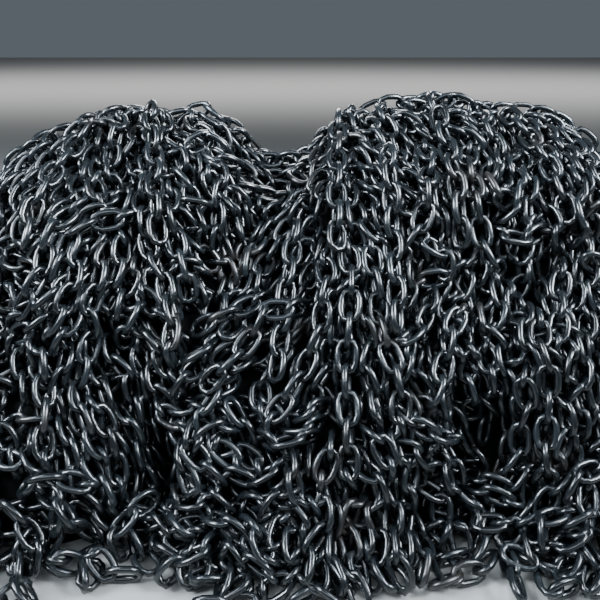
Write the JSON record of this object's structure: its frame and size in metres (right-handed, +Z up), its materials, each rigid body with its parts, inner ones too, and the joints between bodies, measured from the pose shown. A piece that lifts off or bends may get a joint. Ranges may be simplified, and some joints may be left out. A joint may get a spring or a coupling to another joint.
{
  "type": "heap of iron chain",
  "caption": "Heap of black welded medium-link iron chain, piled in humps with runs of links draped down its sides, resting on a flat bottom.",
  "frame": {"origin": "middle of the heap's flat bottom, on the floor", "axes": "+Z up; +X to the viewer's right along the heap's length, from the left hump to the right hump; -Y towards the viewer, the heap's front"},
  "size_m": [2.64, 1.8396, 0.9817],
  "materials": {
    "buried_chain": "black bitumen-painted iron chain, deep in shadow, rough and matt",
    "black_painted_iron": "glossy black bitumen paint on welded iron links, thin cool highlights along the wires"
  },
  "bodies": {
    "root": {"back_run_link_1": "black_painted_iron", "back_run_link_2": "black_painted_iron", "back_run_link_3": "black_painted_iron", "back_run_link_4": "black_painted_iron", "back_run_link_5": "black_painted_iron", "back_run_link_6": "black_painted_iron", "buried_chain_core": "buried_chain", "front_run_link_1": "black_painted_iron", "front_run_link_2": "black_painted_iron", "front_run_link_3": "black_painted_iron", "front_run_link_4": "black_painted_iron", "front_run_link_5": "black_painted_iron", "front_run_link_6": "black_painted_iron", "front_run_link_7": "black_painted_iron", "left_flank_run_link_1": "black_painted_iron", "left_flank_run_link_2": "black_painted_iron", "left_flank_run_link_3": "black_painted_iron", "left_flank_run_link_4": "black_painted_iron", "left_flank_run_link_5": "black_painted_iron", "left_flank_run_link_6": "black_painted_iron", "left_flank_run_link_7": "black_painted_iron", "left_hump_run_link_1": "black_painted_iron", "left_hump_run_link_2": "black_painted_iron", "left_hump_run_link_3": "black_painted_iron", "left_hump_run_link_4": "black_painted_iron", "left_hump_run_link_5": "black_painted_iron", "left_hump_run_link_6": "black_painted_iron", "left_hump_run_link_7": "black_painted_iron", "left_hump_run_link_8": "black_painted_iron", "right_flank_run_link_1": "black_painted_iron", "right_flank_run_link_2": "black_painted_iron", "right_flank_run_link_3": "black_painted_iron", "right_flank_run_link_4": "black_painted_iron", "right_flank_run_link_5": "black_painted_iron", "right_flank_run_link_6": "black_painted_iron", "right_flank_run_link_7": "black_painted_iron", "right_hump_inner_run_link_1": "black_painted_iron", "right_hump_inner_run_link_2": "black_painted_iron", "right_hump_inner_run_link_3": "black_painted_iron", "right_hump_inner_run_link_4": "black_painted_iron", "right_hump_inner_run_link_5": "black_painted_iron", "right_hump_inner_run_link_6": "black_painted_iron", "right_hump_inner_run_link_7": "black_painted_iron", "right_hump_inner_run_link_8": "black_painted_iron", "right_hump_middle_run_link_1": "black_painted_iron", "right_hump_middle_run_link_2": "black_painted_iron", "right_hump_middle_run_link_3": "black_painted_iron", "right_hump_middle_run_link_4": "black_painted_iron", "right_hump_middle_run_link_5": "black_painted_iron", "right_hump_middle_run_link_6": "black_painted_iron", "right_hump_middle_run_link_7": "black_painted_iron", "right_hump_middle_run_link_8": "black_painted_iron", "right_hump_outer_run_link_1": "black_painted_iron", "right_hump_outer_run_link_2": "black_painted_iron", "right_hump_outer_run_link_3": "black_painted_iron", "right_hump_outer_run_link_4": "black_painted_iron", "right_hump_outer_run_link_5": "black_painted_iron", "right_hump_outer_run_link_6": "black_painted_iron", "right_hump_outer_run_link_7": "black_painted_iron"}
  },
  "joints": []
}
